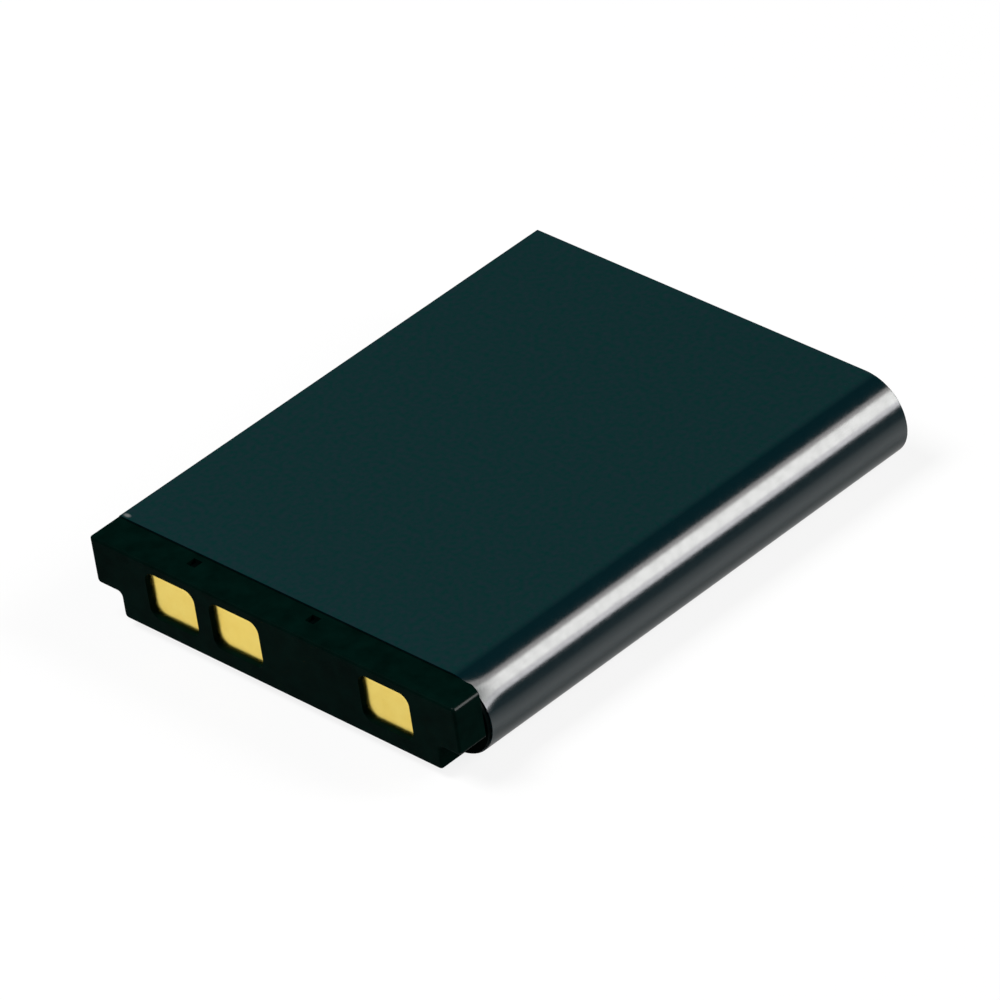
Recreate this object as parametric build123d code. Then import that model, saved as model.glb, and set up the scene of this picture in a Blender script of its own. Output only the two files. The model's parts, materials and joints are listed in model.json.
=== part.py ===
from build123d import *
import os

# A flat rechargeable camera battery with three contacts in its front end. Millimetres.
# X runs across the width, with the rounded side at +X. Y runs along the length, with the contact
# end at the lowest Y. Z is up through the thickness. The pack lies on a broad face, and the origin
# is at the centre of that face.

# The pack
PACK_WIDTH = 31.5
PACK_LENGTH = 40.0
PACK_THICKNESS = 6.0

# The label film
FILM = 0.1
FILM_FRONT_MARGIN = 2.56
FILM_SIDE_SLANT = 0.24
FILM_REAR_MARGIN = 0.15
FILM_CORNER = 0.2

# The end cap: an upper part over the whole width, and a narrower lower part between two notches
CAP_DEPTH = 2.5
CAP_FACE = 0.34
CAP_WALL = 0.5
CAP_UNDERSIDE_STEP = 0.5
CAP_LEFT_NOTCH = 2.07
CAP_RIGHT_NOTCH = 1.87
CAP_NOTCH_HEIGHT = 1.84
CAP_CORNER = 0.3
CAP_CRISP_CORNER = 0.1
CAP_FRONT_EDGE = 0.2
CAP_RELIEF_WIDTH = 0.9
CAP_RELIEF_DEPTH = 0.3

# The contact windows. Places across the pack are shares of its width, from its middle.
WINDOW_PLACES = {"positive": -0.282, "thermistor": -0.104, "negative": 0.305}
WINDOW_WIDTH = 4.32
WINDOW_CORNER = 0.75
WINDOW_HEAD = 0.685
WINDOW_SILL = 1.175

# The latches: slots in the cap's top, and the holder's hooks in them
LATCH_PLACES = (-0.26, 0.068)
LATCH_SLOT_WIDTH = 0.75
LATCH_SLOT_DEPTH = 0.7
LATCH_SLOT_SETBACK = 0.4
LATCH_RECESS = 0.28

# The board holder
HOLDER_FLANGE = 1.2
HOLDER_FLANGE_APERTURE = 4.2
HOLDER_RING_WALL = 0.45
HOLDER_RING_SIDE = 0.53
APERTURE_CORNER = 0.4

# The protection board and its contact plates
BOARD_THICKNESS = 0.8
BOARD_CORNER = 0.3
CONTACT_PLATE = 0.1
CONTACT_RIM = 0.25
CONTACT_CORNER = 0.5

# The cell
CELL_BOTTOM_EDGE = 0.6
LID_RIM = 0.4
LID_RECESS = 0.15
LID_PORT_DEPTH = 1.0
VENT_PLACE = 0.222
VENT_LENGTH = 5.0
VENT_WIDTH = 2.2
VENT_GROOVE_WIDTH = 0.25
VENT_GROOVE_DEPTH = 0.08
FILL_PORT_PLACE = -0.146
FILL_BALL_DIAMETER = 1.0

# The negative post in its gasket
RIVET_HEAD_DIAMETER = 2.4
RIVET_HEAD = 0.35
RIVET_SHANK_DIAMETER = 1.2
GASKET_DIAMETER = 3.2
GASKET_FLANGE = 0.3
GASKET_SLEEVE_DIAMETER = 2.0

# The sheet over the lid, the weld plate and the nickel strips
INSULATOR = 0.1
INSULATOR_MARGIN = 0.25
WELD_PLATE_PLACE = -0.305
WELD_PLATE_WIDTH = 3.6
WELD_PLATE_HEIGHT = 2.6
WELD_PLATE = 0.2
WELD_PLATE_CORNER = 0.2
STRIP = 0.12
STRIP_WIDTH = 2.2
STRIP_BEND = 0.2
STRIP_LAP = 2.4

# The thermal cut-off
CUTOFF_PLACE = 0.21
CUTOFF_LENGTH = 4.8
CUTOFF_WIDTH = 2.7
CUTOFF_THICKNESS = 0.95
CUTOFF_POCKET = 0.5
CUTOFF_EDGE = 0.12

# The chips on the board's back
MOSFET_PLACE = -0.195
MOSFET_BODY = (4.4, 0.95, 3.0)
MOSFET_PIN_PITCH = 0.65
MOSFET_PINS_A_SIDE = 4
PROTECTION_PLACE = 0.013
PROTECTION_BODY = (1.6, 1.1, 2.9)
PROTECTION_PIN_PITCH = 0.95
PROTECTION_PINS_A_SIDE = 3
PIN_WIDTH = 0.25
PIN_THICKNESS = 0.12
PIN_REACH = 0.7
PIN_BODY_STANDOFF = 0.08
THERMISTOR_PLACE = 0.114
THERMISTOR_SIZE = (0.8, 0.6, 1.6)
RESISTOR_SIZE = (0.5, 0.35, 1.0)
RESISTOR_PLACES = (0.171, 0.206)
CAPACITOR_SIZE = (0.5, 0.5, 1.0)
CAPACITOR_PLACES = (0.247, 0.282)
CHIP_ROW_SPACING = 1.5
CHIP_CAP_SHARE = 0.22
CHIP_CAP_PROUD = 0.02

# The side rail and the rear cover
RAIL_WEB = 0.55
RAIL_LIP = 0.33
REAR_COVER = 0.8
REAR_COVER_EDGE = 0.12
ADHESIVE = 0.1
ADHESIVE_MARGIN = 1.2

# Clearances
SLIDE_GAP = 0.05
ROUND_GAP = 0.02

# Places worked out from the sizes above. Along the length, from the front to the back.
FRONT = -PACK_LENGTH / 2
BACK = PACK_LENGTH / 2
CAP_BACK = FRONT + CAP_DEPTH
FILM_FRONT = FRONT + FILM_FRONT_MARGIN
FILM_BACK = BACK - FILM_REAR_MARGIN
CONTACT_FRONT = FRONT + CAP_FACE
BOARD_FRONT = CONTACT_FRONT + CONTACT_PLATE
BOARD_BACK = BOARD_FRONT + BOARD_THICKNESS
CELL_FRONT = CAP_BACK + HOLDER_FLANGE
LID = CELL_FRONT + LID_RECESS
COVER_FRONT = BACK - REAR_COVER
CELL_BACK = COVER_FRONT - ADHESIVE
STRIP_LEVEL = LID - GASKET_FLANGE - RIVET_HEAD

# Across the width and through the thickness, under the film. The cap's sides are level with the film.
CAP_HALF_WIDTH = PACK_WIDTH / 2
LEFT = -CAP_HALF_WIDTH + FILM
RIGHT = CAP_HALF_WIDTH - FILM
BOTTOM = FILM
TOP = PACK_THICKNESS - FILM
MIDDLE_Z = PACK_THICKNESS / 2
CAP_BOTTOM = BOTTOM + CAP_UNDERSIDE_STEP
NOTCH_TOP = CAP_BOTTOM + CAP_NOTCH_HEIGHT
CAVITY_BOTTOM = CAP_BOTTOM + CAP_WALL
CAVITY_TOP = TOP - CAP_WALL
WINDOW_BOTTOM = CAP_BOTTOM + WINDOW_SILL
WINDOW_TOP = TOP - WINDOW_HEAD
BOARD_MIDDLE_Z = (CAVITY_BOTTOM + CAVITY_TOP) / 2
BOARD_HALF_WIDTH = CAP_HALF_WIDTH - max(CAP_LEFT_NOTCH, CAP_RIGHT_NOTCH) - CAP_WALL - SLIDE_GAP
BOARD_HALF_HEIGHT = (CAVITY_TOP - CAVITY_BOTTOM) / 2 - SLIDE_GAP
BOARD_TOP = BOARD_MIDDLE_Z + BOARD_HALF_HEIGHT
APERTURE_HALF_WIDTH = BOARD_HALF_WIDTH - HOLDER_RING_SIDE
APERTURE_HALF_HEIGHT = BOARD_HALF_HEIGHT - HOLDER_RING_WALL
CELL_RADIUS = MIDDLE_Z - FILM
CELL_LEFT = LEFT + RAIL_WEB + SLIDE_GAP
CELL_LEFT_AXIS = CELL_LEFT + CELL_RADIUS
CELL_RIGHT_AXIS = RIGHT - CELL_RADIUS
FILL_PORT_MIDDLE = FILL_PORT_PLACE * PACK_WIDTH
WELD_PLATE_MIDDLE = WELD_PLATE_PLACE * PACK_WIDTH
CUTOFF_MIDDLE = CUTOFF_PLACE * PACK_WIDTH


# Helpers for drawing across the pack, on X and Z, and for running a section along its length
def across(x_span, z_span, radius=0.0):
    """A rectangle across the pack, from its spans on X and Z."""
    width = x_span[1] - x_span[0]
    height = z_span[1] - z_span[0]
    shape = RectangleRounded(width, height, radius) if radius else Rectangle(width, height)
    return Plane.XZ * Pos(sum(x_span) / 2, sum(z_span) / 2) * shape


def disc(x, z, diameter):
    """A circle across the pack."""
    return Plane.XZ * Pos(x, z) * Circle(diameter / 2)


def span(middle, size):
    """The lowest and highest value of a size about its middle."""
    return (middle - size / 2, middle + size / 2)


def along(section, y_front, y_back):
    """A section run along the length between two places."""
    return extrude(Pos(0, y_front, 0) * section, amount=y_back - y_front, dir=(0, 1, 0))


def solid_box(x_span, y_span, z_span):
    """A plain block from its three spans."""
    return along(across(x_span, z_span), *y_span)


# The pack's sections
def square_side(section, radius):
    """A section with its two sharp left corners rounded."""
    return fillet(section.vertices().sort_by(Axis.X)[:2], radius)


def round_section(film_left):
    """Square on the left and half-round on the right, with film_left of the film outside it."""
    inset = FILM - film_left
    flat = across((LEFT - film_left, CELL_RIGHT_AXIS), (inset, PACK_THICKNESS - inset))
    side = disc(CELL_RIGHT_AXIS, MIDDLE_Z, 2 * (CELL_RADIUS + film_left))
    return square_side(flat + side, FILM_CORNER - inset)


def cell_section(growth=0.0):
    """The can's section, with both narrow sides round."""
    radius = CELL_RADIUS + growth
    flat = across((CELL_LEFT_AXIS, CELL_RIGHT_AXIS), (MIDDLE_Z - radius, MIDDLE_Z + radius))
    left = disc(CELL_LEFT_AXIS, MIDDLE_Z, 2 * radius)
    right = disc(CELL_RIGHT_AXIS, MIDDLE_Z, 2 * radius)
    return flat + left + right


def cap_section(inset, corner, top_left_corner):
    """The cap's stepped section: wide above, and narrower below between the notches."""
    half_width = CAP_HALF_WIDTH - inset
    upper = across((-half_width, half_width), (NOTCH_TOP + inset, TOP - inset))
    lower_span = (CAP_LEFT_NOTCH - half_width, half_width - CAP_RIGHT_NOTCH)
    section = upper + across(lower_span, (CAP_BOTTOM + inset, TOP - inset))
    top_left = section.vertices().group_by(Axis.X)[0].sort_by(Axis.Z)[-1]
    others = [vertex for vertex in section.vertices() if vertex != top_left]
    section = fillet(others, corner)
    top_left = section.vertices().group_by(Axis.X)[0].sort_by(Axis.Z)[-1]
    return fillet(top_left, top_left_corner)


# The film
def label_sleeve():
    """The film, open at both ends, with its front edge slanting back over the round side."""
    outer = along(round_section(FILM), FILM_FRONT, FILM_BACK)
    film = outer - along(round_section(0.0), FILM_FRONT, FILM_BACK)
    corner = (CELL_RIGHT_AXIS, FILM_FRONT)
    return film - wedge(corner, (CAP_HALF_WIDTH, FILM_FRONT + FILM_SIDE_SLANT), (CAP_HALF_WIDTH, FILM_FRONT))


def wedge(*corners):
    """A block through the whole thickness, from its outline seen from above."""
    return extrude(make_face(Polyline(*corners, close=True)), amount=PACK_THICKNESS)


# The contact end
def end_cap():
    """The cap: a stepped shell with contact windows in front and latch slots on top."""
    body = along(cap_section(0.0, CAP_CORNER, CAP_CRISP_CORNER), FRONT, CAP_BACK)
    body = fillet(body.edges().group_by(Axis.Y)[0], CAP_FRONT_EDGE)
    body -= along(cap_section(CAP_WALL, CAP_CORNER / 2, CAP_CORNER / 2), CONTACT_FRONT, CAP_BACK)
    body -= wedge(
        (CAP_HALF_WIDTH - CAP_RELIEF_WIDTH, CAP_BACK),
        (CAP_HALF_WIDTH, CAP_BACK - CAP_RELIEF_DEPTH),
        (CAP_HALF_WIDTH, CAP_BACK),
    )
    for place in WINDOW_PLACES.values():
        window = across(span(place * PACK_WIDTH, WINDOW_WIDTH), (WINDOW_BOTTOM, WINDOW_TOP), WINDOW_CORNER)
        body -= along(window, FRONT, CONTACT_FRONT)
    for place in LATCH_PLACES:
        body -= latch_block(place, 0.0, TOP)
    return body


def latch_block(place, clearance, top):
    """The space of one latch, from inside the cap up to a height."""
    y_back = CAP_BACK - LATCH_SLOT_SETBACK
    return solid_box(
        span(place * PACK_WIDTH, LATCH_SLOT_WIDTH - 2 * clearance),
        (y_back - LATCH_SLOT_DEPTH + clearance, y_back - clearance),
        (CAVITY_TOP - SLIDE_GAP, top),
    )


def contact_plate(place):
    """A gold-plated plate that reaches the board's top edge, with its rim behind the cap's wall."""
    x_span = span(place * PACK_WIDTH, WINDOW_WIDTH + 2 * CONTACT_RIM)
    section = across(x_span, (WINDOW_BOTTOM - CONTACT_RIM, BOARD_TOP), CONTACT_CORNER)
    return along(section, CONTACT_FRONT, BOARD_FRONT)


def board_holder():
    """The carrier: a flange over the cell's lid, and a ring with two hooks inside the cap."""
    body = along(round_section(0.0), CAP_BACK, CELL_FRONT)
    ring = cap_section(CAP_WALL + SLIDE_GAP, CAP_CORNER / 2, CAP_CORNER / 2)
    body += along(ring, BOARD_BACK, CAP_BACK)
    for place in LATCH_PLACES:
        body += latch_block(place, SLIDE_GAP, TOP - LATCH_RECESS)
    x_span = (-APERTURE_HALF_WIDTH, APERTURE_HALF_WIDTH)
    ring_aperture = across(x_span, span(BOARD_MIDDLE_Z, 2 * APERTURE_HALF_HEIGHT), APERTURE_CORNER)
    flange_aperture = across(x_span, span(MIDDLE_Z, HOLDER_FLANGE_APERTURE), APERTURE_CORNER)
    body -= along(ring_aperture, BOARD_BACK, CAP_BACK)
    return body - along(flange_aperture, CAP_BACK, CELL_FRONT)


def circuit_board():
    """The protection board, between the contact plates and the holder's ring."""
    section = across(
        (-BOARD_HALF_WIDTH, BOARD_HALF_WIDTH),
        span(BOARD_MIDDLE_Z, 2 * BOARD_HALF_HEIGHT),
        BOARD_CORNER,
    )
    return along(section, BOARD_FRONT, BOARD_BACK)


# What is soldered on the board's back
def pinned_chip(place, body_size, pitch, pins_a_side):
    """A moulded package with flat pins on its two sides, lying on the board's back."""
    middle = place * PACK_WIDTH
    width, height, length = body_size
    base = BOARD_BACK + PIN_BODY_STANDOFF
    x_span = span(middle, width)
    z_span = span(BOARD_MIDDLE_Z, length)
    body = solid_box(x_span, (base, BOARD_BACK + height), z_span)
    rim = body.edges().group_by(Axis.Y)[-1]
    body = chamfer(rim, PIN_THICKNESS)
    for side in (-1, 1):
        wall = middle + side * width / 2
        tip = wall + side * PIN_REACH
        for index in range(pins_a_side):
            z = BOARD_MIDDLE_Z + (index - (pins_a_side - 1) / 2) * pitch
            body += chip_pin(wall, tip, z, height)
    return body


def chip_pin(wall, tip, z, height):
    """One pin: out of the body's side at half height, down, and flat on the board."""
    side = 1 if tip > wall else -1
    level = BOARD_BACK + height / 2
    knee = wall + side * (PIN_REACH - PIN_THICKNESS) / 2
    z_span = span(z, PIN_WIDTH)
    arm = solid_box(sorted((wall, knee + side * PIN_THICKNESS)), (level, level + PIN_THICKNESS), z_span)
    leg = solid_box(sorted((knee, knee + side * PIN_THICKNESS)), (BOARD_BACK, level + PIN_THICKNESS), z_span)
    foot = solid_box(sorted((knee, tip)), (BOARD_BACK, BOARD_BACK + PIN_THICKNESS), z_span)
    return arm + leg + foot


def end_capped_chip(place, z, size):
    """A small ceramic chip with a metal cap on each end, standing along Z on the board."""
    x = place * PACK_WIDTH
    width, height, length = size
    body = solid_box(span(x, width), (BOARD_BACK, BOARD_BACK + height), span(z, length))
    cap = length * CHIP_CAP_SHARE
    for middle in (z - (length - cap) / 2, z + (length - cap) / 2):
        y_span = (BOARD_BACK, BOARD_BACK + height + CHIP_CAP_PROUD)
        body += solid_box(span(x, width + 2 * CHIP_CAP_PROUD), y_span, span(middle, cap))
    return body


def chip_group(places, size):
    """Like chips in two rows, as separate solids of one group."""
    rows = span(BOARD_MIDDLE_Z, CHIP_ROW_SPACING)
    return Compound([end_capped_chip(place, z, size) for place in places for z in rows])


# The cell and what is on its lid
def cell_can():
    """The sealed can with its recessed lid, one solid with the parts that are welded to it."""
    can = along(cell_section(), CELL_FRONT, CELL_BACK)
    can = fillet(can.edges().group_by(Axis.Y)[-1], CELL_BOTTOM_EDGE)
    can -= along(cell_section(-LID_RIM), CELL_FRONT, LID)
    can -= along(disc(0, MIDDLE_Z, GASKET_SLEEVE_DIAMETER + 2 * ROUND_GAP), LID, LID + LID_PORT_DEPTH)
    fill_port = disc(FILL_PORT_MIDDLE, MIDDLE_Z, FILL_BALL_DIAMETER + 2 * ROUND_GAP)
    can -= along(fill_port, LID, LID + LID_PORT_DEPTH)
    return can - vent_groove()


def vent_groove():
    """The oval score line that lets the can vent."""
    outer = vent_oval(VENT_LENGTH, VENT_WIDTH)
    inner = vent_oval(VENT_LENGTH - 2 * VENT_GROOVE_WIDTH, VENT_WIDTH - 2 * VENT_GROOVE_WIDTH)
    return along(outer - inner, LID, LID + VENT_GROOVE_DEPTH)


def vent_oval(length, width):
    """A slot outline at the vent's place."""
    return Plane.XZ * Pos(VENT_PLACE * PACK_WIDTH, MIDDLE_Z) * SlotOverall(length, width)


def rivet_gasket():
    """The insulating bush of the negative post."""
    flange = along(disc(0, MIDDLE_Z, GASKET_DIAMETER), LID - GASKET_FLANGE, LID)
    sleeve = along(disc(0, MIDDLE_Z, GASKET_SLEEVE_DIAMETER), LID, LID + LID_PORT_DEPTH)
    bore = disc(0, MIDDLE_Z, RIVET_SHANK_DIAMETER + 2 * ROUND_GAP)
    return flange + sleeve - along(bore, LID - GASKET_FLANGE, LID + LID_PORT_DEPTH)


def terminal_rivet():
    """The negative post: a flat head on the gasket, and a shank down through it."""
    gasket_front = LID - GASKET_FLANGE
    head = along(disc(0, MIDDLE_Z, RIVET_HEAD_DIAMETER), STRIP_LEVEL, gasket_front)
    shank = along(disc(0, MIDDLE_Z, RIVET_SHANK_DIAMETER), gasket_front, LID + LID_PORT_DEPTH)
    return head + shank


def fill_port_ball():
    """The ball pressed into the filling hole, its crown level with the lid."""
    radius = FILL_BALL_DIAMETER / 2
    return Pos(FILL_PORT_MIDDLE, LID + radius, MIDDLE_Z) * Sphere(radius)


def lid_insulator():
    """The sheet on the lid, cut out round the post and the weld plate."""
    margin = LID_RIM + INSULATOR_MARGIN
    sheet = cell_section(-margin)
    sheet -= disc(0, MIDDLE_Z, GASKET_DIAMETER + 2 * SLIDE_GAP)
    sheet -= across(
        span(WELD_PLATE_MIDDLE, WELD_PLATE_WIDTH + 2 * SLIDE_GAP),
        span(MIDDLE_Z, WELD_PLATE_HEIGHT + 2 * SLIDE_GAP),
    )
    return along(sheet, LID - INSULATOR, LID)


def positive_weld_plate():
    """The clad plate that joins the aluminium lid to a nickel strip."""
    x_span = span(WELD_PLATE_MIDDLE, WELD_PLATE_WIDTH)
    section = across(x_span, span(MIDDLE_Z, WELD_PLATE_HEIGHT), WELD_PLATE_CORNER)
    return along(section, LID - WELD_PLATE, LID)


# The nickel strips. Each is drawn as a bent line seen from above and widened along Z.
def bent_strip(points):
    """A strip of constant thickness whose middle line runs through the points on X and Y."""
    path = FilletPolyline(*[(x, y) for x, y in points], radius=STRIP_BEND)
    ribbon = trace(path, line_width=STRIP)
    return extrude(Pos(0, 0, MIDDLE_Z - STRIP_WIDTH / 2) * ribbon, amount=STRIP_WIDTH)


def positive_tab():
    """From the weld plate, forward, and flat on the board's back."""
    plate_level = LID - WELD_PLATE - STRIP / 2
    board_level = BOARD_BACK + STRIP / 2
    web = -APERTURE_HALF_WIDTH + STRIP
    lap_end = WELD_PLATE_MIDDLE + WELD_PLATE_WIDTH / 2
    points = [(lap_end, plate_level), (web, plate_level), (web, board_level), (web + STRIP_LAP, board_level)]
    return bent_strip(points)


def negative_tab():
    """Flat on the post's head, with its end in the cut-off's pocket."""
    x_span = (-RIVET_HEAD_DIAMETER / 2, CUTOFF_MIDDLE - CUTOFF_LENGTH / 2 + CUTOFF_POCKET)
    section = across(x_span, span(MIDDLE_Z, STRIP_WIDTH))
    return along(section, STRIP_LEVEL - STRIP, STRIP_LEVEL)


def cutoff_tab():
    """From the cut-off's pocket, forward, and flat on the board's back."""
    level = STRIP_LEVEL - STRIP / 2
    board_level = BOARD_BACK + STRIP / 2
    web = APERTURE_HALF_WIDTH - STRIP
    start = CUTOFF_MIDDLE + CUTOFF_LENGTH / 2 - CUTOFF_POCKET
    points = [(start, level), (web, level), (web, board_level), (web - STRIP_LAP, board_level)]
    return bent_strip(points)


def thermal_cutoff():
    """The cut-off's moulded body on the insulator, with a pocket for a strip at each end."""
    back = LID - INSULATOR
    x_span = span(CUTOFF_MIDDLE, CUTOFF_LENGTH)
    body = solid_box(x_span, (back - CUTOFF_THICKNESS, back), span(MIDDLE_Z, CUTOFF_WIDTH))
    body = fillet(body.edges().group_by(Axis.Y)[0], CUTOFF_EDGE)
    for side in (-1, 1):
        wall = CUTOFF_MIDDLE + side * CUTOFF_LENGTH / 2
        x_span = sorted((wall, wall - side * CUTOFF_POCKET))
        body -= solid_box(x_span, (STRIP_LEVEL - STRIP, STRIP_LEVEL), span(MIDDLE_Z, STRIP_WIDTH))
    return body


# The pieces round the cell
def side_rail():
    """The rail that squares the left side, with a hollow for the cell's round side."""
    section = across((LEFT, CELL_LEFT_AXIS), (BOTTOM, TOP))
    section = square_side(section, FILM_CORNER - FILM)
    section -= disc(CELL_LEFT_AXIS, MIDDLE_Z, 2 * (CELL_RADIUS + SLIDE_GAP))
    lip_half_height = CELL_RADIUS - RAIL_LIP
    reach = ((CELL_RADIUS + SLIDE_GAP) ** 2 - lip_half_height ** 2) ** 0.5
    section -= across((CELL_LEFT_AXIS - reach, CELL_LEFT_AXIS), (BOTTOM, TOP))
    return along(section, CELL_FRONT, COVER_FRONT)


def rear_cover():
    """The plate of the back end, with the film round its rim."""
    plate = along(round_section(0.0), COVER_FRONT, BACK)
    return fillet(plate.edges().group_by(Axis.Y)[-1], REAR_COVER_EDGE)


def rear_adhesive():
    """The tape between the can's bottom and the cover."""
    return along(cell_section(-ADHESIVE_MARGIN), CELL_BACK, COVER_FRONT)


def pieces():
    """Every piece of the pack by its node name."""
    made = {
        "label_sleeve": label_sleeve(),
        "end_cap": end_cap(),
        "board_holder": board_holder(),
        "circuit_board": circuit_board(),
        "mosfet_pair": pinned_chip(MOSFET_PLACE, MOSFET_BODY, MOSFET_PIN_PITCH, MOSFET_PINS_A_SIDE),
        "protection_chip": pinned_chip(
            PROTECTION_PLACE, PROTECTION_BODY, PROTECTION_PIN_PITCH, PROTECTION_PINS_A_SIDE
        ),
        "thermistor": end_capped_chip(THERMISTOR_PLACE, BOARD_MIDDLE_Z, THERMISTOR_SIZE),
        "chip_resistors": chip_group(RESISTOR_PLACES, RESISTOR_SIZE),
        "chip_capacitors": chip_group(CAPACITOR_PLACES, CAPACITOR_SIZE),
        "cell_can": cell_can(),
        "rivet_gasket": rivet_gasket(),
        "terminal_rivet": terminal_rivet(),
        "fill_port_ball": fill_port_ball(),
        "lid_insulator": lid_insulator(),
        "positive_weld_plate": positive_weld_plate(),
        "positive_tab": positive_tab(),
        "negative_tab": negative_tab(),
        "cutoff_tab": cutoff_tab(),
        "thermal_cutoff": thermal_cutoff(),
        "side_rail": side_rail(),
        "rear_cover": rear_cover(),
        "rear_adhesive": rear_adhesive(),
    }
    for name, place in WINDOW_PLACES.items():
        made[f"contact_{name}"] = contact_plate(place)
    return made


os.makedirs("parts", exist_ok=True)
for node, shape in pieces().items():
    export_step(shape, f"parts/{node}.step")
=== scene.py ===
import json
import math

import bpy
from mathutils import Matrix, Vector

# A flat camera battery lying on its broad face. Metres.
# X runs across the width, with the rounded side at +X. Y runs along the length, with the contact end
# at the lowest Y. Z is up, and the floor is at zero.

# The camera
SENSOR_WIDTH = 36.0
LENS = 331.25
CAMERA_AZIMUTH = 49.269
CAMERA_ELEVATION = 34.789
CAMERA_ROLL = -9.013
CAMERA_TARGET = (-0.000127, -0.000148, 0.002999)
CAMERA_DISTANCE = 0.56651

# The floor and the lamps
FLOOR_SIZE = 4.0
FLOOR_COLOR = (0.82, 0.82, 0.82)
WORLD_COLOR = (0.9, 0.95, 1.0)
CAMERA_WHITE_SHARE = 0.86
GLOSSY_WHITE_SHARE = 0.05
# In mirrors the floor darkens between these distances from the pack's middle line.
FLOOR_FADE = (0.0165, 0.032)
FLOOR_FADED = (0.1, 0.11, 0.12)
WORLD_STRENGTH = 0.015
# The strip lamps are mirrored on the round side between these angles from the horizontal, in degrees,
# each with its radiance and colour.
STRIPS = (
    (28.3, 34.5, 12.5, (0.98, 0.97, 1.0)),
    (34.5, 48.5, 19.0, (1.0, 1.0, 0.98)),
    (48.5, 54.0, 6.0, (1.0, 0.94, 0.92)),
)
STRIP_DISTANCE = 1.2
STRIP_WIDTH = 0.28
KEY_PLACE = (-0.16, -0.16, 0.43)
KEY_SIZE = 0.2
KEY_RADIANCE = 19.2

# The film's colours
FILM_TEALS = ((0.0015, 0.0215, 0.0205), (0.0065, 0.0195, 0.024))
# Painted shade: the film's rounded and steep sides are darkened to this colour.
FILM_SHADED_SIDE_COLOR = (0.0005, 0.0095, 0.0125)
# Painted highlight: the pale spot at the film's front left corner takes this colour.
FILM_CORNER_GLINT_COLOR = (0.13, 0.14, 0.14)
FILM_SPECULAR = 0.55
FILM_ROUGHNESS = 0.19
# The print is teal where the normal's upright part is above the second of these; below the first it is
# darkened to painted shade.
FILM_SIDE_SHADE_RANGE = (0.965, 0.996)

# The painted highlight at the film's front left corner, a pale spot: its place in from the film's two
# edges, and its reach
GLINT_INSET = (0.00052, 0.00027)
GLINT_REACH = (0.00036, 0.0002, 0.001)
# Towards the contact end the round side's film lies flatter, about a middle angle in degrees.
FLARE_LENGTH = 0.0022
FLARE_HALF_WIDTH = 0.00135
FLARE_CURVE = 75.0
FLARE_MIDDLE = 43.0

# Handling polishes the moulded edges further out from the pack's middle than this zone.
POLISH_ZONE = (0.015, 0.0152)
POLISH_ROUGHNESS = 0.3
# How far a material's roughness strays either way
ROUGHNESS_SPREAD = 0.05
# The heights of the grain and the lines in the surfaces
MOULD_GRAIN = 0.000004
SHEET_GRAIN = 0.000002
METAL_LINES = 0.000002
GOLD_LINES = 0.0000015
FILM_WAVE = 0.000004
FILM_GRAIN = 0.0000006


# Node helpers
def new_material(name):
    """A material with its nodes, its links and its shader."""
    material = bpy.data.materials.new(name)
    material.use_nodes = True
    tree = material.node_tree
    return material, tree, tree.nodes["Principled BSDF"]


def set_shader(shader, color, roughness, metallic=0.0, specular=0.5):
    """The shader's plain values."""
    shader.inputs["Base Color"].default_value = (*color, 1.0)
    shader.inputs["Roughness"].default_value = roughness
    shader.inputs["Metallic"].default_value = metallic
    shader.inputs["Specular IOR Level"].default_value = specular


def position(tree, location=(0.0, 0.0, 0.0), scale=(1.0, 1.0, 1.0)):
    """The place on the surface in the object's own space, scaled and then shifted."""
    coordinates = tree.nodes.new("ShaderNodeTexCoord")
    mapping = tree.nodes.new("ShaderNodeMapping")
    mapping.inputs["Location"].default_value = location
    mapping.inputs["Scale"].default_value = scale
    tree.links.new(coordinates.outputs["Object"], mapping.inputs["Vector"])
    return mapping.outputs["Vector"]


def noise(tree, size, detail=2.0, stretch=(1.0, 1.0, 1.0)):
    """Noise in the object's own space, with features of about the given size in metres."""
    texture = tree.nodes.new("ShaderNodeTexNoise")
    texture.inputs["Scale"].default_value = 1.0 / size
    texture.inputs["Detail"].default_value = detail
    tree.links.new(position(tree, scale=stretch), texture.inputs["Vector"])
    return texture.outputs["Fac"]


def ranged(tree, value, low, high, source=(0.3, 0.7)):
    """A value spread from its source range to another."""
    node = tree.nodes.new("ShaderNodeMapRange")
    node.inputs["From Min"].default_value = source[0]
    node.inputs["From Max"].default_value = source[1]
    node.inputs["To Min"].default_value = low
    node.inputs["To Max"].default_value = high
    tree.links.new(value, node.inputs["Value"])
    return node.outputs["Result"]


def mixed(tree, value, first, second):
    """A colour between two, by a value from 0 to 1. Either may be a colour or a link."""
    node = tree.nodes.new("ShaderNodeMix")
    node.data_type = "RGBA"
    for socket, color in ((node.inputs[6], first), (node.inputs[7], second)):
        if isinstance(color, tuple):
            socket.default_value = (*color, 1.0)
        else:
            tree.links.new(color, socket)
    tree.links.new(value, node.inputs["Factor"])
    return node.outputs[2]


def math_node(tree, operation, *values):
    """One step of arithmetic. Each value is a number or a link."""
    node = tree.nodes.new("ShaderNodeMath")
    node.operation = operation
    for socket, value in zip(node.inputs, values):
        if isinstance(value, (int, float)):
            socket.default_value = value
        else:
            tree.links.new(value, socket)
    return node.outputs[0]


def position_part(tree, axis):
    """One coordinate of the place on the surface."""
    parts = tree.nodes.new("ShaderNodeSeparateXYZ")
    tree.links.new(position(tree), parts.inputs["Vector"])
    return parts.outputs[axis]


def normal_part(tree, axis):
    """The size of the surface normal along one of the object's axes, from 0 to 1."""
    coordinates = tree.nodes.new("ShaderNodeTexCoord")
    parts = tree.nodes.new("ShaderNodeSeparateXYZ")
    tree.links.new(coordinates.outputs["Normal"], parts.inputs["Vector"])
    return math_node(tree, "ABSOLUTE", parts.outputs[axis])


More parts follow.
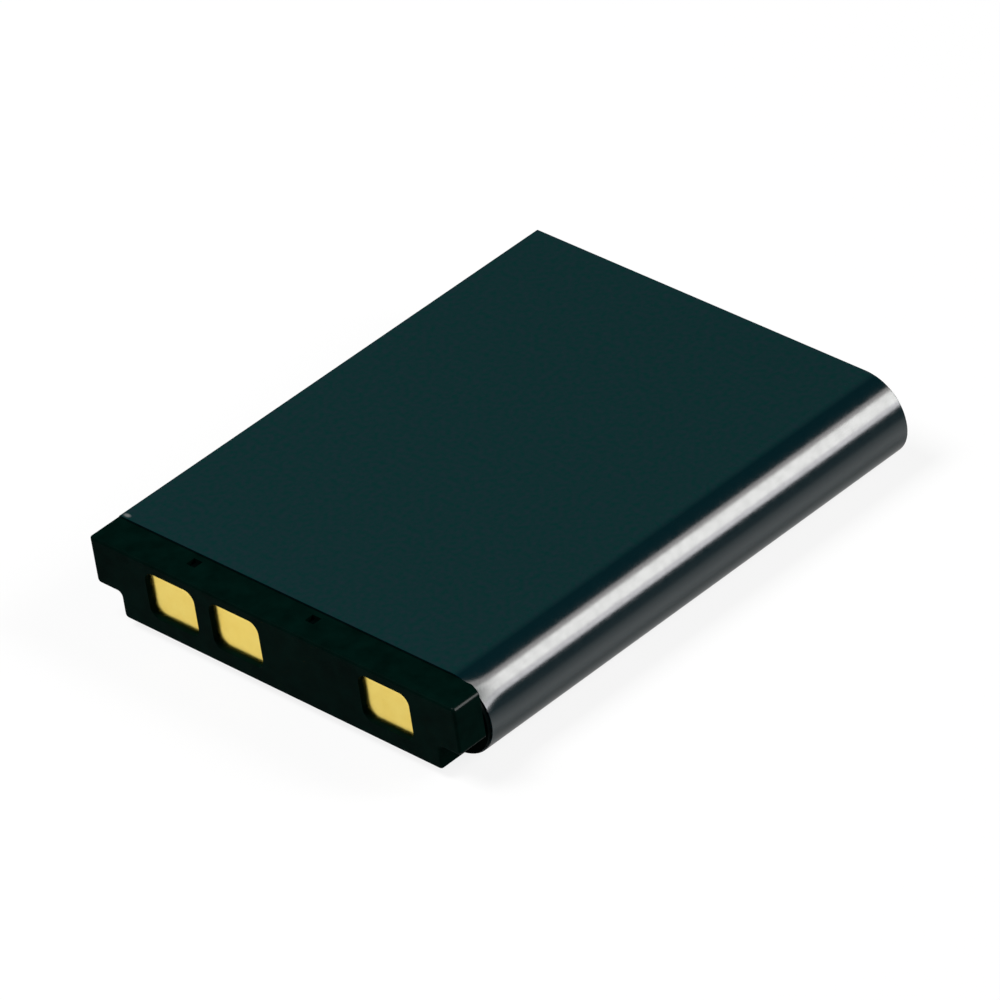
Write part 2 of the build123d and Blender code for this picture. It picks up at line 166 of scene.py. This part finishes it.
def outer_edges(tree):
    """Zero on flat walls, and more on the rounded edges along the length at the pack's two sides."""
    side = ranged(tree, math_node(tree, "ABSOLUTE", position_part(tree, "X")), 0.0, 1.0, POLISH_ZONE)
    rounded = math_node(tree, "MULTIPLY", normal_part(tree, "X"), normal_part(tree, "Z"))
    return math_node(tree, "MULTIPLY", side, rounded)


def bump(tree, shader, height, distance, strength=1.0, before=None):
    """A bump of the given height in metres, after another bump if there is one."""
    node = tree.nodes.new("ShaderNodeBump")
    node.inputs["Distance"].default_value = distance
    node.inputs["Strength"].default_value = strength
    tree.links.new(height, node.inputs["Height"])
    if before is not None:
        tree.links.new(before, node.inputs["Normal"])
    tree.links.new(node.outputs["Normal"], shader.inputs["Normal"])
    return node.outputs["Normal"]


def uneven_roughness(tree, shader, roughness, size, spread=ROUGHNESS_SPREAD):
    """Roughness that strays a little either way, in patches of the given size in metres."""
    patches = ranged(tree, noise(tree, size), roughness - spread, roughness + spread)
    tree.links.new(patches, shader.inputs["Roughness"])


# Materials
def box_limits(piece):
    """The lowest and the highest corner of a piece, in its own space."""
    lowest = tuple(min(corner[axis] for corner in piece.bound_box) for axis in range(3))
    highest = tuple(max(corner[axis] for corner in piece.bound_box) for axis in range(3))
    return lowest, highest


def painted_corner_glint(tree, low, high):
    """One on the pale spot painted as a highlight at the film's top corner, and zero away from it."""
    place = (low[0] + GLINT_INSET[0], low[1] + GLINT_INSET[1], high[2])
    location = tuple(-part / reach for part, reach in zip(place, GLINT_REACH))
    scale = tuple(1.0 / reach for reach in GLINT_REACH)
    length = tree.nodes.new("ShaderNodeVectorMath")
    length.operation = "LENGTH"
    tree.links.new(position(tree, location, scale), length.inputs[0])
    return ranged(tree, length.outputs["Value"], 1.0, 0.0, (0.35, 1.0))


def flared_end(tree, low, high):
    """The height in metres of the round side's film, which lies flatter towards the contact end."""
    radius = (high[2] - low[2]) / 2
    center = Vector((high[0] - radius, 0.0, low[2] + radius))
    turn = math.radians(FLARE_MIDDLE)
    across = Vector((-math.sin(turn), 0.0, math.cos(turn)))
    along = tree.nodes.new("ShaderNodeVectorMath")
    along.operation = "DOT_PRODUCT"
    along.inputs[1].default_value = across
    tree.links.new(position(tree), along.inputs[0])
    offset = math_node(tree, "SUBTRACT", along.outputs["Value"], center.dot(across))
    square = math_node(tree, "MINIMUM", math_node(tree, "MULTIPLY", offset, offset), FLARE_HALF_WIDTH ** 2)
    hollow = math_node(tree, "SUBTRACT", square, FLARE_HALF_WIDTH ** 2 / 2)
    nearness = ranged(tree, position_part(tree, "Y"), 1.0, 0.0, (low[1], low[1] + FLARE_LENGTH))
    share = math_node(tree, "MULTIPLY", math_node(tree, "POWER", nearness, 2.0), FLARE_CURVE)
    return math_node(tree, "MULTIPLY", hollow, share)


def label_material(film):
    """Glossy film: a mottled deep teal print on the broad faces, darkened round the sides by painted
    shade, faintly wavy.
    """
    material, tree, shader = new_material("label_film")
    set_shader(shader, FILM_TEALS[0], FILM_ROUGHNESS, specular=FILM_SPECULAR)
    low, high = box_limits(film)
    cloud = ranged(tree, noise(tree, 0.0004, 3.0), 0.0, 1.0)
    teal = mixed(tree, cloud, *FILM_TEALS)
    # Painted shade: the film darkens where its normal leans away from upright.
    broad = ranged(tree, normal_part(tree, "Z"), 0.0, 1.0, FILM_SIDE_SHADE_RANGE)
    shaded_print = mixed(tree, broad, FILM_SHADED_SIDE_COLOR, teal)
    # Painted highlight: a pale spot at the film's front left corner.
    glinted = mixed(tree, painted_corner_glint(tree, low, high), shaded_print, FILM_CORNER_GLINT_COLOR)
    tree.links.new(glinted, shader.inputs["Base Color"])
    uneven_roughness(tree, shader, FILM_ROUGHNESS, 0.0006, 0.02)
    wave = bump(tree, shader, noise(tree, 0.004, 1.0), FILM_WAVE)
    flared = bump(tree, shader, flared_end(tree, low, high), 1.0, before=wave)
    bump(tree, shader, noise(tree, 0.00015), FILM_GRAIN, before=flared)
    return material


def moulded_material(name, color, roughness, specular, polish):
    """Moulded plastic with a fine spark-eroded grain, and edges that handling has polished."""
    material, tree, shader = new_material(name)
    set_shader(shader, color, roughness, specular=specular)
    darker = tuple(0.75 * part for part in color)
    lighter = tuple(1.3 * part for part in color)
    cloud = ranged(tree, noise(tree, 0.0012, 3.0), 0.0, 1.0)
    tree.links.new(mixed(tree, cloud, darker, lighter), shader.inputs["Base Color"])
    uneven_roughness(tree, shader, roughness, 0.0005)
    shader.inputs["Coat Roughness"].default_value = POLISH_ROUGHNESS
    tree.links.new(ranged(tree, outer_edges(tree), 0.0, polish, (0.1, 0.4)), shader.inputs["Coat Weight"])
    bump(tree, shader, noise(tree, 0.00022, 3.0), MOULD_GRAIN)
    return material


def gold_material():
    """Gold plate with a satin surface and fine rolling lines."""
    material, tree, shader = new_material("gold_plate")
    roughness = 0.22
    set_shader(shader, (0.97, 0.73, 0.155), roughness, metallic=1.0)
    cloud = ranged(tree, noise(tree, 0.0011, 2.0), 0.0, 1.0)
    tree.links.new(mixed(tree, cloud, (0.95, 0.7, 0.14), (0.98, 0.75, 0.17)), shader.inputs["Base Color"])
    uneven_roughness(tree, shader, roughness, 0.0004, 0.03)
    bump(tree, shader, noise(tree, 0.0002, stretch=(0.2, 1.0, 1.0)), GOLD_LINES)
    return material


def metal_material(name, color, roughness, stretch):
    """Rolled or drawn metal, with fine lines along its direction."""
    material, tree, shader = new_material(name)
    set_shader(shader, color, roughness, metallic=1.0)
    darker = tuple(0.9 * part for part in color)
    lines = ranged(tree, noise(tree, 0.0003, 3.0, stretch), 0.0, 1.0)
    tree.links.new(mixed(tree, lines, darker, color), shader.inputs["Base Color"])
    uneven = ranged(tree, lines, roughness - 0.06, roughness + 0.06, (0.0, 1.0))
    tree.links.new(uneven, shader.inputs["Roughness"])
    bump(tree, shader, lines, METAL_LINES)
    return material


def sheet_material(name, color, roughness, specular=0.5):
    """Pressed sheet, laminate, ceramic or tape, with a soft mottle."""
    material, tree, shader = new_material(name)
    set_shader(shader, color, roughness, specular=specular)
    darker = tuple(0.8 * part for part in color)
    cloud = ranged(tree, noise(tree, 0.0005, 4.0), 0.0, 1.0)
    tree.links.new(mixed(tree, cloud, darker, color), shader.inputs["Base Color"])
    uneven_roughness(tree, shader, roughness, 0.0004)
    bump(tree, shader, noise(tree, 0.0001), SHEET_GRAIN)
    return material


def make_materials(film):
    """Every material by the name of the record's slot. The film's node gives the places on the film."""
    along_y = (1.0, 0.1, 1.0)
    along_x = (0.1, 1.0, 1.0)
    return {
        "label_film": label_material(film),
        "cap_plastic": moulded_material("cap_plastic", (0.0004, 0.005, 0.0037), 0.4, 0.004, 0.25),
        "frame_plastic": moulded_material("frame_plastic", (0.0004, 0.0022, 0.002), 0.4, 0.004, 0.05),
        "gold_plate": gold_material(),
        "can_aluminium": metal_material("can_aluminium", (0.8, 0.81, 0.82), 0.32, along_y),
        "nickel": metal_material("nickel", (0.62, 0.59, 0.54), 0.3, along_x),
        "steel": metal_material("steel", (0.58, 0.58, 0.58), 0.25, along_x),
        "gasket_plastic": moulded_material("gasket_plastic", (0.03, 0.03, 0.033), 0.45, 0.4, 0.3),
        "insulating_paper": sheet_material("insulating_paper", (0.5, 0.42, 0.25), 0.75),
        "cutoff_plastic": moulded_material("cutoff_plastic", (0.012, 0.012, 0.014), 0.45, 0.4, 0.3),
        "board_laminate": sheet_material("board_laminate", (0.006, 0.1, 0.035), 0.3),
        "chip_epoxy": moulded_material("chip_epoxy", (0.012, 0.012, 0.013), 0.5, 0.4, 0.3),
        "chip_ceramic": sheet_material("chip_ceramic", (0.02, 0.018, 0.018), 0.3),
        "capacitor_ceramic": sheet_material("capacitor_ceramic", (0.4, 0.24, 0.12), 0.4),
        "adhesive": sheet_material("adhesive", (0.75, 0.75, 0.72), 0.6),
    }


def dress(nodes, record, materials):
    """Gives each CAD node the material of its slot."""
    slots = {part["node"]: part["material_slot"] for part in record["subparts"]}
    for name, piece in nodes.items():
        piece.data.materials.clear()
        piece.data.materials.append(materials[slots[name]])


# The stage
def backdrop_shader(tree, color):
    """Lit by the lamps, so that it keeps the shadow, and whitened to the camera and in reflections."""
    tree.nodes.clear()
    output = tree.nodes.new("ShaderNodeOutputMaterial")
    diffuse = tree.nodes.new("ShaderNodeBsdfDiffuse")
    white = tree.nodes.new("ShaderNodeEmission")
    white.inputs["Strength"].default_value = 1.0
    path = tree.nodes.new("ShaderNodeLightPath")
    far = ranged(tree, math_node(tree, "ABSOLUTE", position_part(tree, "X")), 0.0, 1.0, FLOOR_FADE)
    faded = math_node(tree, "MULTIPLY", far, path.outputs["Is Glossy Ray"])
    tree.links.new(mixed(tree, faded, color, FLOOR_FADED), diffuse.inputs["Color"])
    shares = {
        "Is Camera Ray": CAMERA_WHITE_SHARE,
        "Is Glossy Ray": GLOSSY_WHITE_SHARE,
        "Is Transmission Ray": GLOSSY_WHITE_SHARE,
    }
    total = None
    for name, share in shares.items():
        part = tree.nodes.new("ShaderNodeMath")
        part.operation = "MULTIPLY_ADD"
        part.inputs[1].default_value = share
        part.inputs[2].default_value = 0.0
        tree.links.new(path.outputs[name], part.inputs[0])
        if total is not None:
            tree.links.new(total, part.inputs[2])
        total = part.outputs[0]
    seen = tree.nodes.new("ShaderNodeMixShader")
    tree.links.new(total, seen.inputs["Fac"])
    tree.links.new(diffuse.outputs["BSDF"], seen.inputs[1])
    tree.links.new(white.outputs["Emission"], seen.inputs[2])
    tree.links.new(seen.outputs["Shader"], output.inputs["Surface"])


def make_floor():
    """The plain pale floor."""
    mesh = bpy.data.meshes.new("floor")
    half = FLOOR_SIZE / 2
    square = [(-half, -half, 0.0), (half, -half, 0.0), (half, half, 0.0), (-half, half, 0.0)]
    mesh.from_pydata(square, [], [(0, 1, 2, 3)])
    floor = bpy.data.objects.new("floor", mesh)
    bpy.context.scene.collection.objects.link(floor)
    material = bpy.data.materials.new("floor")
    material.use_nodes = True
    backdrop_shader(material.node_tree, FLOOR_COLOR)
    mesh.materials.append(material)


def axes_matrix(place, side, up, back):
    """The place and the turn of a camera or a lamp, which look along the reverse of back."""
    return Matrix.Translation(place) @ Matrix((side, up, back)).transposed().to_4x4()


def area_lamp(name, place, along, width, height, radiance, color=(1.0, 1.0, 1.0)):
    """A flat lamp of a given radiance that faces the part, with its height along a direction."""
    data = bpy.data.lights.new(name, "AREA")
    data.shape = "RECTANGLE"
    data.size = width
    data.size_y = height
    data.energy = math.pi * radiance * width * height
    data.color = color
    lamp = bpy.data.objects.new(name, data)
    back = Vector(place).normalized()
    side = Vector(along).cross(back).normalized()
    lamp.matrix_world = axes_matrix(place, side, back.cross(side), back)
    bpy.context.scene.collection.objects.link(lamp)


def mirrored(angle):
    """Where the camera looks by way of the round side, at an angle from the horizontal."""
    turn = math.radians(angle)
    normal = Vector((math.cos(turn), 0.0, math.sin(turn)))
    view = camera_axes()[2]
    return 2.0 * normal.dot(view) * normal - view


def make_lamps():
    """Strips that the round side mirrors, a soft lamp overhead, and a dim even world."""
    for low_angle, high_angle, radiance, color in STRIPS:
        low, high = (mirrored(angle) * STRIP_DISTANCE for angle in (low_angle, high_angle))
        height = (high - low).length
        area_lamp("strip", (low + high) / 2, high - low, STRIP_WIDTH, height, radiance, color)
    area_lamp("key", KEY_PLACE, (0.0, 1.0, 0.0), KEY_SIZE, KEY_SIZE, KEY_RADIANCE)
    world = bpy.data.worlds.new("studio")
    bpy.context.scene.world = world
    world.use_nodes = True
    background = world.node_tree.nodes["Background"]
    background.inputs["Color"].default_value = (*WORLD_COLOR, 1.0)
    background.inputs["Strength"].default_value = WORLD_STRENGTH


def camera_axes():
    """The camera's right, up and back directions."""
    azimuth = math.radians(CAMERA_AZIMUTH)
    elevation = math.radians(CAMERA_ELEVATION)
    roll = math.radians(CAMERA_ROLL)
    back = Vector((
        math.sin(azimuth) * math.cos(elevation),
        -math.cos(azimuth) * math.cos(elevation),
        math.sin(elevation),
    ))
    level = Vector((math.cos(azimuth), math.sin(azimuth), 0.0))
    upright = back.cross(level)
    right = math.cos(roll) * level + math.sin(roll) * upright
    up = math.cos(roll) * upright - math.sin(roll) * level
    return right, up, back


def make_camera():
    """The camera, with the photograph's place, lens and roll."""
    right, up, back = camera_axes()
    data = bpy.data.cameras.new("camera")
    data.sensor_width = SENSOR_WIDTH
    data.lens = LENS
    data.clip_start = 0.01
    data.clip_end = 10.0
    camera = bpy.data.objects.new("camera", data)
    camera.matrix_world = axes_matrix(Vector(CAMERA_TARGET) + back * CAMERA_DISTANCE, right, up, back)
    bpy.context.scene.collection.objects.link(camera)
    bpy.context.scene.camera = camera


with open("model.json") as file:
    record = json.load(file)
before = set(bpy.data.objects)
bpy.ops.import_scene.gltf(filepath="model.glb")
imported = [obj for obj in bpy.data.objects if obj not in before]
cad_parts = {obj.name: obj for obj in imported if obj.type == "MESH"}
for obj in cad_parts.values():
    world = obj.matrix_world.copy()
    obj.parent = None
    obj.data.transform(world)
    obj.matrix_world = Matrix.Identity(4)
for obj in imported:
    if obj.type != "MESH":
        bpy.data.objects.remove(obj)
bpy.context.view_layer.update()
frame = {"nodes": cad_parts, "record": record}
make_camera()
dress(frame["nodes"], frame["record"], make_materials(frame["nodes"]["label_sleeve"]))
make_floor()
make_lamps()
bpy.context.scene.view_settings.view_transform = "Standard"
